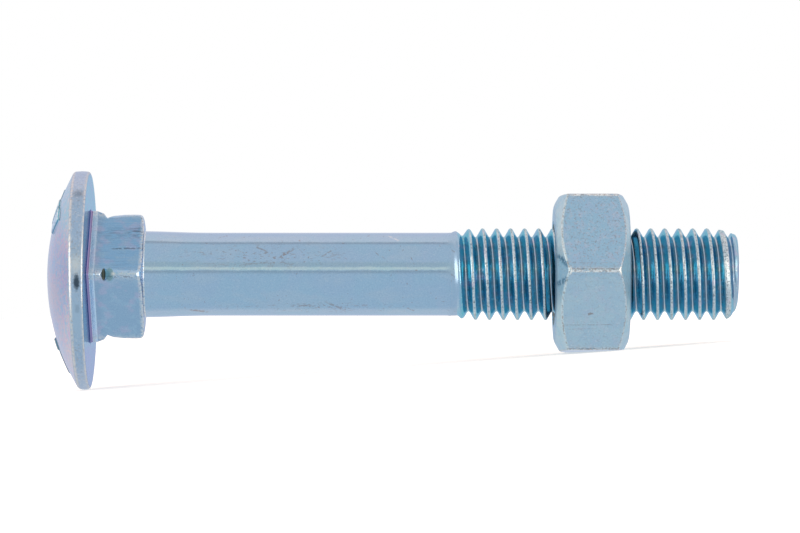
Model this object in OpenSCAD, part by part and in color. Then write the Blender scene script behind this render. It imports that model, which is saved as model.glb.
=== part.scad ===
// Mushroom head bolt with a square neck, and the hexagon nut run on its thread.
// The shank axis is X. The head bears on the plane X = 0, and the tip points along +X.

/* [Head] */
// Diameter of the trimmed rim
head_d = 23.4; // [18:0.1:30]
// Height of the head, from its bearing face to the crown of the dome
head_h = 4.6; // [3.5:0.05:7]
// Thickness of the rim where the dome meets it
rim_h = 1.4; // [0.8:0.1:3]
// Rounding of the rim's edge on the bearing side
rim_round = 0.25; // [0.1:0.05:0.5]
// How far the forged head and neck sit below the shank axis
head_drop = 0.25; // [0:0.05:0.4]
// How far the trimmed rim sits below the middle of the dome
rim_drop = 0.4; // [0:0.05:0.6]

/* [Neck] */
// Length of the neck, from the bearing face to its end
neck_l = 5.85; // [4:0.05:12]
// Width of the square neck across its flats
neck_af = 9.75; // [9.4:0.05:12]
// Size over two opposite corners where the neck is fullest
neck_d = 13.3; // [12.8:0.1:16]
// Size over two opposite corners at the waist behind the collar
waist_d = 12.65; // [12:0.05:15]
// Distance from the bearing face to the waist
waist_x = 1.9; // [1.4:0.05:2.6]
// Width of the square collar across its flats
collar_af = 10; // [9.6:0.05:13]
// Thickness of the collar under the head
collar_l = 0.75; // [0.4:0.05:1.2]
// Rounding of the corners at the neck's end
neck_round = 0.4; // [0.2:0.1:0.6]
// Roll of the neck about the shank axis, which lifts its corner on the -Y side
neck_turn = 2.1; // [0:0.1:10]

/* [Shank] */
// Length of the bolt under its head
bolt_l = 69.2; // [50:0.1:120]
// How much thicker the shank is by the neck than along its middle
shank_flare = 0.3; // [0:0.05:0.6]
// Length over which that flare dies away
flare_l = 8; // [2:0.5:12]
// Radius of the fillet between the neck's end and the shank
shank_fillet = 0.25; // [0.1:0.05:0.6]
// Height of the ridge that rolling raised before the thread
ridge_h = 0.1; // [0:0.05:0.2]
// Length of that ridge
ridge_l = 0.6; // [0.3:0.1:1.5]

/* [Thread] */
// Diameter over the thread crests
thread_d = 9.85; // [9:0.05:10.5]
// Distance between neighbouring threads
pitch = 1.5; // [1:0.05:1.75]
// Length of the threaded end
thread_l = 30.2; // [20:0.1:40]
// Angle round the axis, from +Y towards +Z, at which the thread starts
thread_start = 90; // [0:1:359]
// How much slimmer the flat at the tip is than the thread
tip_taper = 1.8; // [0.5:0.05:2]
// Length of the chamfer at the tip
tip_l = 1.6; // [0.8:0.1:3]

/* [Nut] */
// Width of the nut across its flats
nut_af = 16.65; // [15:0.05:20]
// Height of the nut
nut_h = 8; // [6:0.1:12]
// Length of thread that stands out beyond the nut
stand_out = 11.6; // [2:0.1:18]
// Diameter of the nut's flat face towards the head
nut_face_d = 14.5; // [13:0.1:16]
// Diameter of the nut's flat face towards the tip
nut_back_d = 14.8; // [13:0.1:16]
// Gap all round between the nut's bore and the thread crests
nut_clearance = 0.075; // [0.05:0.005:0.2]
// How much wider than the bore its countersinks are
sink_extra = 0.9; // [0.2:0.1:1.5]
// Roll of the nut about the shank axis, which lifts its corner on the -Y side
nut_turn = 2.6; // [0:0.1:30]

/* [Finish] */
// Colour of the bolt
bolt_color = "LightSteelBlue"; // [LightSteelBlue, SteelBlue, Silver, DarkGoldenrod]
// Colour of the nut
nut_color = "SteelBlue"; // [SteelBlue, LightSteelBlue, Silver, DarkGoldenrod]

/* [Hidden] */

$fn = 96;
// Depth that one solid reaches into the next, where both are one piece
bite = 0.5;

// The dome is a cap of a sphere, whose radius comes from its width and height.
dome_h = head_h - rim_h;
dome_r = ((head_d / 2) ^ 2 + dome_h ^ 2) / (2 * dome_h);
// Straight steps in a rounded edge
round_steps = 5;
// The neck is fullest at this distance from the bearing face.
full_x = 0.75 * neck_l;

// Thread form: flanks at 60 degrees, with flats at the crest and the root.
thread_depth = 0.63 * pitch;
crest_w = 0.11 * pitch;
flank_w = thread_depth * tan(30);
thread_x = bolt_l - thread_l;
// A rolled thread starts from a blank of about its mean diameter.
shank_d = thread_d - 0.65 * pitch;
tip_r = (thread_d - tip_taper) / 2;
// The groove reaches its depth, and the crest its height, over these lengths.
groove_run = 0.6 * pitch;
crest_run = 1.3 * pitch;
// Straight steps in one turn of the helix
turn_steps = 32;
// Turns that the helix runs on before and past its ends, to be cut there
spare_turns = 3;
// Corners of the form in one pitch: place along the axis, and 1 at a crest or 0 at a root
form = [
    [-crest_w / 2, 1],
    [crest_w / 2, 1],
    [crest_w / 2 + flank_w, 0],
    [pitch - crest_w / 2 - flank_w, 0],
];
corners = len(form);
// The helix starts as a round core inside the shank, slimmer than its ridge by a small step,
// stays round a little past the shank's end, and runs on past the tip to be cut there.
core_step = 0.02;
core_out = 0.05;
core_r = shank_d / 2 + ridge_h - core_step;
core_x = thread_x + core_out;
helix_x = thread_x - pitch;
helix_corners = corners * (ceil(thread_l / pitch) + spare_turns);

nut_x = bolt_l - stand_out - nut_h;
nut_corner_d = nut_af / cos(30);
nut_bore_d = thread_d + 2 * nut_clearance;
nut_chamfer = 30;
sink_angle = 30;

// Turns a profile of [radius, distance along X] points about the shank axis.
module turned(drop = 0) {
    translate([0, 0, -drop]) rotate([0, 90, 0]) rotate_extrude() children();
}

// A square bar along X that stands on one corner, from x0 to x1.
module square_bar(across_flats, x0, x1) {
    rotate([45 - neck_turn, 0, 0])
        translate([x0, -across_flats / 2, -across_flats / 2])
            cube([x1 - x0, across_flats, across_flats]);
}

// A quarter circle of points about a centre, from angle a0 to angle a1.
function arc(center, r, a0, a1, steps) =
    [for (i = [0:steps]) let (a = a0 + (a1 - a0) * i / steps) center + r * [cos(a), sin(a)]];

// Dome and rim. The rim is trimmed round, a little below the middle of the dome.
module head() {
    intersection() {
        translate([dome_r - head_h, 0, -head_drop]) sphere(dome_r);
        turned(head_drop + rim_drop)
            polygon(concat(
                [[0, -2 * head_h], [head_d / 2, -2 * head_h]],
                arc([head_d / 2 - rim_round, -rim_round], rim_round, 0, 90, round_steps),
                [[0, 0]]
            ));
    }
}

// The square neck. A round outline trims its corners, deepest at the waist.
module neck() {
    translate([0, 0, -head_drop]) {
        square_bar(collar_af, -bite, collar_l);
        intersection() {
            square_bar(neck_af, -bite, neck_l);
            turned()
                polygon(concat(
                    [[0, -bite], [collar_af, -bite], [collar_af, 0]],
                    [[neck_af * sqrt(0.5), collar_l], [waist_d / 2, waist_x]],
                    [[neck_d / 2, full_x]],
                    arc([neck_d / 2 - neck_round, neck_l - neck_round], neck_round, 0, 90, round_steps),
                    [[0, neck_l]]
                ));
        }
    }
}

// The plain shank, thicker by the neck, with the ridge at the start of the thread.
module shank() {
    flare_r = (shank_d + shank_flare) / 2;
    turned()
        polygon(concat(
            [[0, neck_l - bite], [flare_r, neck_l - bite]],
            arc([flare_r + shank_fillet, neck_l + shank_fillet], shank_fillet, 270, 180, round_steps),
            [[shank_d / 2, neck_l + flare_l]],
            [[shank_d / 2, thread_x - 2 * ridge_l]],
            [[shank_d / 2 + ridge_h, thread_x - ridge_l], [shank_d / 2 + ridge_h, thread_x]],
            [[0, thread_x]]
        ));
}

// Radius of the thread at a place along the axis, on its crest or in its root.
function form_r(x, on_crest) =
    let (
        run = on_crest == 1 ? crest_run : groove_run,
        full_r = thread_d / 2 - (1 - on_crest) * thread_depth
    )
    core_r + (full_r - core_r) * min(1, (x - core_x) / run);

// Point number i along the axis, on the helix's step number j. Point 0 is the core's
// start inside the shank, and what would lie before the core's end is drawn onto it.
function helix_point(i, j) =
    let (
        c = form[i % corners],
        along = helix_x + c[0] + pitch * (floor(i / corners) + j / turn_steps),
        x = i == 0 ? thread_x - bite : max(core_x, along),
        a = thread_start + 360 * j / turn_steps,
        r = i == 0 ? core_r : form_r(x, c[1])
    )
    [x, r * cos(a), r * sin(a)];

// The right-hand helix: each step's row of points joins the next one's,
// and the last row joins the first one pitch further on.
module helix() {
    row = helix_corners + 1;
    first_hub = turn_steps * row;
    last_hub = first_hub + 1;
    // Index of point i on step j, where the step after the last is the first again
    function at(i, j) = j == turn_steps ? i + corners : j * row + i;
    function strip_end(j) = j == turn_steps - 1 ? helix_corners - corners : helix_corners;
    points = concat(
        [for (j = [0:turn_steps - 1], i = [0:helix_corners]) helix_point(i, j)],
        [[helix_x + pitch / 2, 0, 0], [helix_x + pitch * (helix_corners / corners + 0.5), 0, 0]]
    );
    sides = [
        for (j = [0:turn_steps - 1], i = [0:strip_end(j) - 1], half = [0, 1])
            half == 0
                ? [at(i, j), at(i + 1, j + 1), at(i, j + 1)]
                : [at(i, j), at(i + 1, j), at(i + 1, j + 1)]
    ];
    first_rim = concat([for (j = [0:turn_steps]) at(0, j)], [for (i = [corners - 1:-1:0]) at(i, 0)]);
    last_rim = concat(
        [for (j = [0:turn_steps - 1]) at(helix_corners, j)],
        [for (i = [1:corners]) at(helix_corners - i, turn_steps - 1)],
        [at(helix_corners, 0)]
    );
    polyhedron(
        points = points,
        faces = concat(
            sides,
            [for (k = [1:len(first_rim) - 1]) [first_hub, first_rim[k - 1], first_rim[k]]],
            [for (k = [1:len(last_rim) - 1]) [last_hub, last_rim[k], last_rim[k - 1]]]
        )
    );
}

// The threaded end, cut flat at the tip with a chamfer.
module thread() {
    outside_r = thread_d / 2 + pitch;
    tip_slope = tip_l / (thread_d / 2 - tip_r);
    intersection() {
        helix();
        turned()
            polygon([
                [0, helix_x], [outside_r, helix_x],
                [outside_r, bolt_l - tip_slope * (outside_r - tip_r)],
                [tip_r, bolt_l], [0, bolt_l],
            ]);
    }
}

module bolt() {
    color(bolt_color) union() {
        head();
        neck();
        shank();
        thread();
    }
}

// A hexagon bar, trimmed at both ends by shallow cones, with a countersunk bore.
module hex_nut() {
    outside_r = nut_corner_d / 2 + bite;
    function chamfer_l(face_d) = (outside_r - face_d / 2) * tan(nut_chamfer);
    sink_l = sink_extra / 2 * tan(sink_angle);
    sink_r = (nut_bore_d + sink_extra) / 2;
    color(nut_color) translate([nut_x, 0, 0]) difference() {
        intersection() {
            rotate([-nut_turn, 0, 0]) rotate([0, 90, 0])
                rotate([0, 0, 90]) cylinder(d = nut_corner_d, h = nut_h, $fn = 6);
            turned()
                polygon([
                    [0, 0], [nut_face_d / 2, 0],
                    [outside_r, chamfer_l(nut_face_d)],
                    [outside_r, nut_h - chamfer_l(nut_back_d)],
                    [nut_back_d / 2, nut_h], [0, nut_h],
                ]);
        }
        turned()
            polygon([
                [0, -bite], [sink_r + bite / tan(sink_angle), -bite],
                [nut_bore_d / 2, sink_l],
                [nut_bore_d / 2, nut_h - sink_l],
                [sink_r + bite / tan(sink_angle), nut_h + bite], [0, nut_h + bite],
            ]);
    }
}

bolt();
hex_nut();
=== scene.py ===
"""Dressed model of a carriage bolt with its hexagon nut, in bright zinc plate with a blue tint.

The shank axis is X. The head bears on the plane X = 0, the tip points along +X, and +Z is up.
Mesh code works in millimetres, and every finished mesh is in metres.
"""

import math

import bmesh
import bpy
import numpy as np
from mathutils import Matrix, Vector, noise


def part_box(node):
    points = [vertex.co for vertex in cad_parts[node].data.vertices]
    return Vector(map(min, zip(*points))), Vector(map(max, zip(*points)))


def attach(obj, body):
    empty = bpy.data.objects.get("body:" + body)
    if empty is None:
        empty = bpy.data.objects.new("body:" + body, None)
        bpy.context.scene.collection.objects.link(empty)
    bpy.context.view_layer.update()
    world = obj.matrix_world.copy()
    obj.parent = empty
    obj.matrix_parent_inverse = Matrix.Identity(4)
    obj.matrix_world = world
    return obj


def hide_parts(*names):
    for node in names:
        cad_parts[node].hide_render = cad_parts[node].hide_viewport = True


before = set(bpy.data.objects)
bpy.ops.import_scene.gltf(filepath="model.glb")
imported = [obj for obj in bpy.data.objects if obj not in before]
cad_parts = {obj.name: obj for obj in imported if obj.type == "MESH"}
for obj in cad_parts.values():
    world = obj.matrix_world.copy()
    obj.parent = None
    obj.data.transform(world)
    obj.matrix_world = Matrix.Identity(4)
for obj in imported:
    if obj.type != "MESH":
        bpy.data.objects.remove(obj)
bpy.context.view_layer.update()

MM = 0.001
# Scales a place in metres to millimetres, in node trees
TO_MM = (1 / MM, 1 / MM, 1 / MM)

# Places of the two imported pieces
bolt_low, bolt_high = (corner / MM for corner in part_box("bolt"))
nut_low, nut_high = (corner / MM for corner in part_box("hex_nut"))

# Columns round every ring, a whole number for each side of the square and of the hexagon
COLUMNS = 144
# Columns in half of a rounded corner
CORNER_COLUMNS = 5
# How far past its flats a square's and a hexagon's rounded corners reach, as a share of half its width
SQUARE_REACH = 0.36
HEXAGON_REACH = 0.14
# Points closer than this, in metres, are joined
WELD = 2e-6

# Head: a cap of a sphere with a trimmed rim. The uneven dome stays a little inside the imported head.
HEAD_INSET = 0.02
HEAD_H = -bolt_low.x - HEAD_INSET
RIM_R = 11.68
RIM_H = 1.4
RIM_ROUND = 0.32
RIM_EDGE = 0.24
RIM_CROWN = 0.03
HEAD_DROP = 0.25
RIM_DROP = 0.4
DOME_H = HEAD_H - RIM_H
DOME_R = (RIM_R**2 + DOME_H**2) / (2 * DOME_H)
DOME_WAVE = 0.035
# Plain raised pads on the dome: first and last column, inner and outer radius, height
PADS = (
    (33, 37, 8.0, 9.7, 0.17),
    (40, 46, 6.3, 8.7, 0.22),
    (49, 54, 6.6, 8.9, 0.22),
    (106, 110, 6.3, 7.7, 0.14),
    (106, 110, 6.4, 10.1, 0.13),
)
PAD_SLOPE = 0.1
# A pad takes its own finish in full from this height on.
PAD_WORN = 0.13
DOME_START_R = 0.3
DOME_RINGS = 34
# Wear across the rim's front edge and its back edge
RIM_FRONT_WEAR = (0.3, 0.7, 1.0, 0.7, 0.3)
RIM_BACK_WEAR = (0.2, 0.5, 0.9, 1.0, 0.9, 0.5)

# Neck: a square with a collar, rounded corners, and a notch pressed into each corner
NECK_L = 5.85
NECK_TURN = math.radians(2.1)
NECK_HALF = 4.87
COLLAR_HALF = 5.0
COLLAR_ROUND = 0.12
COLLAR_L = 0.82
COLLAR_FILLET = 0.28
# How far the collar's soft edge reaches before its end and past it
COLLAR_SOFT = (0.08, 0.06)
# Place along X, half width, rounding of the corners, and how far the notch's facet is out
NECK_OUTLINE = (
    (0.82, 4.97, 0.12, 9.00),
    (1.02, 4.94, 0.16, 9.00),
    (1.25, 4.90, 0.23, 6.95),
    (1.45, 4.87, 0.30, 6.76),
    (1.66, 4.87, 0.38, 6.45),
    (1.85, 4.87, 0.55, 6.24),
    (2.10, 4.87, 0.80, 6.36),
    (2.45, 4.87, 0.90, 6.48),
    (2.90, 4.87, 0.85, 6.70),
    (3.60, 4.87, 0.66, 9.00),
    (4.87, 4.87, 0.60, 9.00),
    (5.85, 4.87, 0.72, 9.00),
)
# Rounding at the neck's end: along X and across, on a corner and on a flat
NECK_END_X = (0.38, 0.1)
NECK_END_R = (0.62, 0.1)
NECK_END_SAG = 0.1
# Where the neck's rings change their spacing, and how many lead up to there
NECK_ROWS = (
    (1.25, 4), (1.66, 6), (1.85, 4), (2.45, 7), (3.60, 8),
    (NECK_L - NECK_END_X[0] - NECK_END_SAG, 12),
)
# How closely the wear keeps to the corners
NECK_CORNER_POWER = 8

# Shank, which flares towards the neck
SHANK_R = 4.445
SHANK_FLARE = 0.165
FLARE_L = 8.0
SHANK_FILLET = 0.2
SHANK_RINGS = 60

# Thread: flanks at 60 degrees, right hand
PITCH = 1.5
CREST_R = 4.925
ROOT_R = 3.98
CREST_W = 0.22
CREST_ROUND = 0.12
ROOT_ROUND = 0.05
# A crest of the bolt's thread passes through the top of the shank at this X.
CREST_X = 39.0
CREST_ANGLE = math.pi / 2
# The ridge at the thread's start rises first, and the groove sinks a little later.
RIDGE_X = 38.3
RIDGE_RUN = 3.3
RIDGE_BOW = 1.7
RIDGE_END = 39.3
GROOVE_X = 39.0
GROOVE_RUN = 1.25
# The end leans: below it is slimmer, and cut down over a shorter run.
TIP_R = 3.9
TIP_LEAN = 0.3
TIP_RUN = 2.2
TIP_RUN_LEAN = 0.18
TIP_BULGE = 2.0
TIP_BULGE_LEAN = -0.7
TIP_EDGE = 0.25
THREAD_WAVE = 0.03
THREAD_WAVE_SCALE = 1.3
# Each ring that closes the end, as a share of the one before
CAP_STEPS = (0.97, 0.93, 0.65, 0.5)
ROWS_PER_PITCH = 16
ROW_CROWDING = 0.6

# Nut
NUT_X = nut_low.x
NUT_H = nut_high.x - nut_low.x
NUT_HALF = 8.31
NUT_RISE = 0.06
NUT_TURN = math.radians(2.6)
NUT_CORNER = 0.36
NUT_FACE_R = 7.25
NUT_BACK_R = 7.3
NUT_CHAMFER = math.radians(30)
NUT_SOFT = 0.18
NUT_FACE_SOFT = 0.4
NUT_MOUTH_R = 5.7
NUT_MINOR_R = 4.2
NUT_MAJOR_R = 5.02
NUT_GAP = 0.06
NUT_SINK = math.radians(30)
# Rows from stop to stop along the nut, and how closely the wear keeps to its corners
NUT_ROWS = (6, 8, 16, 8, 6)
NUT_CORNER_POWER = 24
# Wear across the edges of the flats, and across those of the ends
FLAT_EDGE_WEAR = (0.3, 0.9, 0.7, 0.2)
END_EDGE_WEAR = (0.1, 0.2, 0.2, 0.1)


def smoothstep(t):
    t = np.clip(t, 0, 1)
    return t * t * (3 - 2 * t)


def uneven(points, scale, amplitude):
    """Soft unevenness, from 0 to the amplitude, at points in millimetres."""
    return np.array([amplitude * (0.5 + 0.5 * noise.noise(Vector(p) * scale)) for p in points])


def unit(angle):
    return np.array([math.cos(angle), math.sin(angle)])


def ring_directions(first):
    """Unit vectors in Y and Z, evenly spaced from the first angle."""
    angles = first + 2 * math.pi * np.arange(COLUMNS) / COLUMNS
    return np.stack([np.cos(angles), np.sin(angles)], axis=1)


def crowded(count, crowding=0.75):
    """Numbers from 0 to 1 that crowd towards both ends."""
    t = np.linspace(0, 1, count + 1)
    return t - crowding * np.sin(2 * math.pi * t) / (2 * math.pi)


def polygon_section(sides, half, corner_r, first):
    """A regular polygon with rounded corners, the first of them at the first angle."""
    per_side = COLUMNS // sides
    half_turn = math.pi / sides
    centre_r = (half - corner_r) / math.cos(half_turn)
    reach = (half - corner_r) * math.tan(half_turn)
    flat = 1 - 2 * crowded(per_side - 2 * CORNER_COLUMNS)

    def rounding(corner, angle):
        """A point of the round that belongs to the corner at an angle."""
        return centre_r * unit(corner) + corner_r * unit(angle)

    points = []
    for side in range(sides):
        corner = first + 2 * half_turn * side
        middle = corner + half_turn
        end = middle + half_turn
        across, along = unit(middle), unit(middle - math.pi / 2)
        steps = half_turn * np.arange(CORNER_COLUMNS) / CORNER_COLUMNS
        points += [rounding(corner, corner + step) for step in steps]
        points += [half * across + reach * t * along for t in flat]
        points += [rounding(end, middle + step) for step in steps[1:]]
    return np.array(points)


def ring(x, section, drop=0.0):
    """A ring of points at x, which may differ from column to column."""
    x = np.broadcast_to(x, COLUMNS)
    return np.stack([x, section[:, 0], section[:, 1] - drop], axis=1)


def bend(start, corner, end, steps):
    """Rings on a soft curve from start to end, drawn towards the corner. The start is left out."""
    rings = []
    for t in np.linspace(0, 1, steps + 1)[1:]:
        rings.append((1 - t) ** 2 * start + 2 * t * (1 - t) * corner + t**2 * end)
    return rings


def towards(a, b, distance):
    """Points at a distance from a on the way to b."""
    step = b - a
    length = np.linalg.norm(step, axis=1, keepdims=True)
    return a + step * distance / np.maximum(length, 1e-9)


def between(a, b, steps, crowding=0.0):
    """Rings from a to b, without a."""
    return [a + (b - a) * t for t in crowded(steps, crowding)[1:]]


class Skin:
    """Rings of points along a piece, with how worn each ring is, which also marks painted shade on the
    collar's fillet, and which finish it has.
    """

    def __init__(self):
        self.rings = []
        self.wear = []
        self.finish = []

    def add(self, rings, finish, wear=0.0):
        for one in rings:
            self.rings.append(one)
            self.wear.append(np.broadcast_to(wear, COLUMNS))
            self.finish.append(finish)

    def add_edge(self, rings, finish, wears):
        """Adds the rings of a soft edge, each with its own wear."""
        for one, wear in zip(rings, wears):
            self.add([one], finish, wear)

    def part(self, pole=None):
        """Points, faces, the finish of each face, and wear, which also marks painted shade. A pole closes the
        first ring.
        """
        points = np.concatenate(self.rings)
        wear = np.concatenate(self.wear)
        faces, finishes = [], []
        for row in range(len(self.rings) - 1):
            low, high = row * COLUMNS, (row + 1) * COLUMNS
            for j in range(COLUMNS):
                k = (j + 1) % COLUMNS
                faces.append((low + j, low + k, high + k, high + j))
            finishes += [self.finish[row + 1]] * COLUMNS
        if pole is not None:
            faces += [(len(points), (j + 1) % COLUMNS, j) for j in range(COLUMNS)]
            finishes += [self.finish[0]] * COLUMNS
            points = np.concatenate([points, [pole]])
            wear = np.append(wear, 0)
        return points, faces, finishes, {"wear": wear}


# Head

def dome_x(y, z):
    """X of the dome's sphere above a point of the rim's plane."""
    return DOME_R - HEAD_H - np.sqrt(DOME_R**2 - y**2 - (z + HEAD_DROP) ** 2)


def pad_height(radius):
    """How far the raised pads stand out of the dome at a radius, in each column."""
    height = np.zeros(COLUMNS)
    for first, last, inner, outer, rise in PADS:
        edge = min(radius - inner, outer - radius) / PAD_SLOPE
        height[first : last + 1] += rise * smoothstep(edge)
    return height


def dome_ring(radius, directions):
    """A ring on the dome, with its unevenness and its pads."""
    share = radius / RIM_R
    y = radius * directions[:, 0]
    z = radius * directions[:, 1] - HEAD_DROP - RIM_DROP * share
    x = dome_x(y, z)
    points = np.stack([x, y, z], axis=1)
    wave = uneven(points, 0.35, DOME_WAVE) * (1 - share**8)
    points[:, 0] += wave - pad_height(radius)
    return points


def head(skin, directions):
    edges = [r + s for pad in PADS for r in pad[2:4] for s in (-PAD_SLOPE, 0, PAD_SLOPE)]
    even = np.linspace(DOME_START_R, RIM_R - RIM_EDGE, DOME_RINGS)
    for radius in np.unique(np.round(np.concatenate([even, edges]), 3)):
        raised = np.minimum(pad_height(radius) / PAD_WORN, 1)
        skin.add([dome_ring(radius, directions)], "dome", wear=raised)
    corner = dome_ring(RIM_R - RIM_CROWN, directions)
    band_start = corner + [RIM_EDGE, 0, 0]
    skin.add_edge(bend(skin.rings[-1], corner, band_start, 5), "rim", RIM_FRONT_WEAR)
    rim_drop = HEAD_DROP + RIM_DROP
    band_end = ring(-RIM_ROUND, (RIM_R - RIM_CROWN) * directions, rim_drop)
    for t, one in zip(crowded(10, 0.7)[1:], between(band_start, band_end, 10, 0.7)):
        out = RIM_CROWN * math.sin(math.pi * t) * directions
        skin.add([one + ring(0, out)], "rim")
    face = ring(0, (RIM_R - RIM_ROUND) * directions, rim_drop)
    outer = ring(0, (RIM_R - RIM_CROWN) * directions, rim_drop)
    skin.add_edge(bend(band_end, outer, face, 6), "rim", RIM_BACK_WEAR)


# Neck

def notched(section, facet, first):
    """Presses each corner of a square section flat at the facet's distance from the axis."""
    pressed = section.copy()
    for side in range(4):
        out = unit(first + side * math.pi / 2)
        over = np.maximum(pressed @ out - facet, 0)
        pressed -= over[:, None] * out
    return pressed


def neck_section(x, first):
    """The neck's outline at x, with its notches."""
    places, halves, rounds, facets = np.array(NECK_OUTLINE).T
    section = polygon_section(4, np.interp(x, places, halves), np.interp(x, places, rounds), first)
    return notched(section, np.interp(x, places, facets), first)


def corner_share(section):
    """0 on the middle of a flat and 1 on a corner of the square."""
    size = np.linalg.norm(section, axis=1)
    return np.clip((size - NECK_HALF) / (NECK_HALF * SQUARE_REACH), 0, 1)


def neck(skin, first):
    collar = polygon_section(4, COLLAR_HALF, COLLAR_ROUND, first)
    foot = polygon_section(4, COLLAR_HALF + COLLAR_FILLET, COLLAR_ROUND + 0.1, first)
    under = ring(0, foot, HEAD_DROP)
    skin.add(between(skin.rings[-1], under, 10, 0.6), "underside")
    up = ring(COLLAR_FILLET, collar, HEAD_DROP)
    # The fillet under the collar is marked in full, for the underside's painted shade there.
    skin.add(bend(under, ring(0, collar, HEAD_DROP), up, 4), "underside", wear=1.0)
    worn = corner_share(collar) ** NECK_CORNER_POWER
    collar_end = ring(COLLAR_L - COLLAR_SOFT[0], collar, HEAD_DROP)
    skin.add(between(up, collar_end, 4, 0.5), "neck", wear=worn)
    start = COLLAR_L + COLLAR_SOFT[1]
    first_ring = ring(start, neck_section(start, first), HEAD_DROP)
    skin.add(bend(collar_end, ring(COLLAR_L, collar, HEAD_DROP), first_ring, 3), "neck", wear=0.15)
    for end, rows in NECK_ROWS:
        for x in np.linspace(start, end, rows + 1)[1:]:
            section = neck_section(x, first)
            worn = 0.8 * corner_share(section) ** NECK_CORNER_POWER
            skin.add([ring(x, section, HEAD_DROP)], "neck", wear=worn)
        start = end
    neck_end(skin, first)


def neck_end(skin, first):
    """Rounds the neck's end off, most of all on its corners."""
    section = neck_section(NECK_L, first)
    size = np.linalg.norm(section, axis=1, keepdims=True)
    share = corner_share(section) ** 2
    soft_x, soft_r = (on_corner * share + on_flat * (1 - share)
                      for on_corner, on_flat in (NECK_END_X, NECK_END_R))
    for a in np.radians(np.linspace(0, 90, 8)):
        pulled = section * (1 - (soft_r * (1 - math.cos(a)))[:, None] / size)
        x = NECK_L - NECK_END_SAG * share - soft_x * (1 - math.sin(a))
        skin.add([ring(x, pulled, HEAD_DROP)], "neck", wear=1.0)


# Shank

def shank_r(x):
    """The shank's radius, which grows towards the neck."""
    return SHANK_R + SHANK_FLARE * (1 - smoothstep((x - NECK_L) / FLARE_L)) ** 1.5


def shank(skin, directions):
    mouth_r = shank_r(NECK_L) + SHANK_FILLET
    mouth = ring(NECK_L, mouth_r * directions)
    skin.add(between(skin.rings[-1], mouth, 4), "neck", wear=0.8)
    start_x = NECK_L + SHANK_FILLET
    start = ring(start_x, shank_r(start_x) * directions)
    skin.add(bend(mouth, ring(NECK_L, shank_r(NECK_L) * directions), start, 6), "neck", wear=1.0)
    for x in np.linspace(start_x, RIDGE_X, SHANK_RINGS)[1:]:
        skin.add([ring(x, shank_r(x) * directions)], "shank")


# Node trees

def give(tree, value, socket):
    """Links what nodes work out to an input, or sets a plain value on it."""
    if isinstance(value, Number):
        value = value.socket
    if isinstance(value, bpy.types.NodeSocket):
        tree.links.new(value, socket)
    else:
        socket.default_value = value


def calc(tree, operation, *values):
    """A math node, and its result."""
    node = tree.nodes.new("ShaderNodeMath")
    node.operation = operation
    for value, socket in zip(values, node.inputs):
        give(tree, value, socket)
    return Number(tree, node.outputs[0])


class Number:
    """A number that nodes work out. It takes the usual signs."""

    def __init__(self, tree, socket):
        self.tree = tree
        self.socket = socket

    def do(self, operation, *others):
        return calc(self.tree, operation, self, *others)

    def fade(self, low, high):
        """0 at low and 1 at high, with a soft change between."""
        node = self.tree.nodes.new("ShaderNodeMapRange")
        node.interpolation_type = "SMOOTHSTEP"
        for text, value in (("Value", self), ("From Min", low), ("From Max", high)):
            give(self.tree, value, node.inputs[text])
        return Number(self.tree, node.outputs[0])

    def __add__(self, other):
        return self.do("ADD", other)

    def __sub__(self, other):
        return self.do("SUBTRACT", other)

    def __rsub__(self, other):
        return calc(self.tree, "SUBTRACT", other, self)

    def __mul__(self, other):
        return self.do("MULTIPLY", other)

    def __truediv__(self, other):
        return self.do("DIVIDE", other)

    def __pow__(self, other):
        return self.do("POWER", other)

    def __abs__(self):
        return self.do("ABSOLUTE")

    __radd__ = __add__
    __rmul__ = __mul__


def vector_calc(tree, operation, *values):
    """A vector math node, and its vector, or its number where the operation gives one."""
    node = tree.nodes.new("ShaderNodeVectorMath")
    node.operation = operation
    for value, socket in zip(values, node.inputs):
        give(tree, value, socket)
    if operation in ("LENGTH", "DOT_PRODUCT"):
        return Number(tree, node.outputs["Value"])
    return node.outputs["Vector"]


def texture_noise(tree, vector, scale, detail=2.0, distortion=0.0):
    node = tree.nodes.new("ShaderNodeTexNoise")
    for text, value in (("Vector", vector), ("Scale", scale), ("Detail", detail), ("Distortion", distortion)):
        give(tree, value, node.inputs[text])
    return Number(tree, node.outputs[0])


def vector_of(tree, x, y, z):
    """A vector from its X, Y and Z."""
    node = tree.nodes.new("ShaderNodeCombineXYZ")
    for value, socket in zip((x, y, z), node.inputs):
        give(tree, value, socket)
    return node.outputs[0]


def parts_of(tree, vector):
    """X, Y and Z of a vector."""
    node = tree.nodes.new("ShaderNodeSeparateXYZ")
    tree.links.new(vector, node.inputs[0])
    return [Number(tree, socket) for socket in node.outputs]


THREAD_INPUTS = (
    "Pitch", "Crest Radius", "Root Radius", "Crest Width", "Crest Round", "Root Round",
    "Crest X", "First Angle", "Start X", "End X", "End Radius", "End Run", "Wave",
)
# What the bolt's thread also takes, for its start on the shank and for the tip
BOLT_INPUTS = ("Start Radius", "Ridge Run", "Groove X", "Groove Run", "End Lean", "End Edge")


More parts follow.
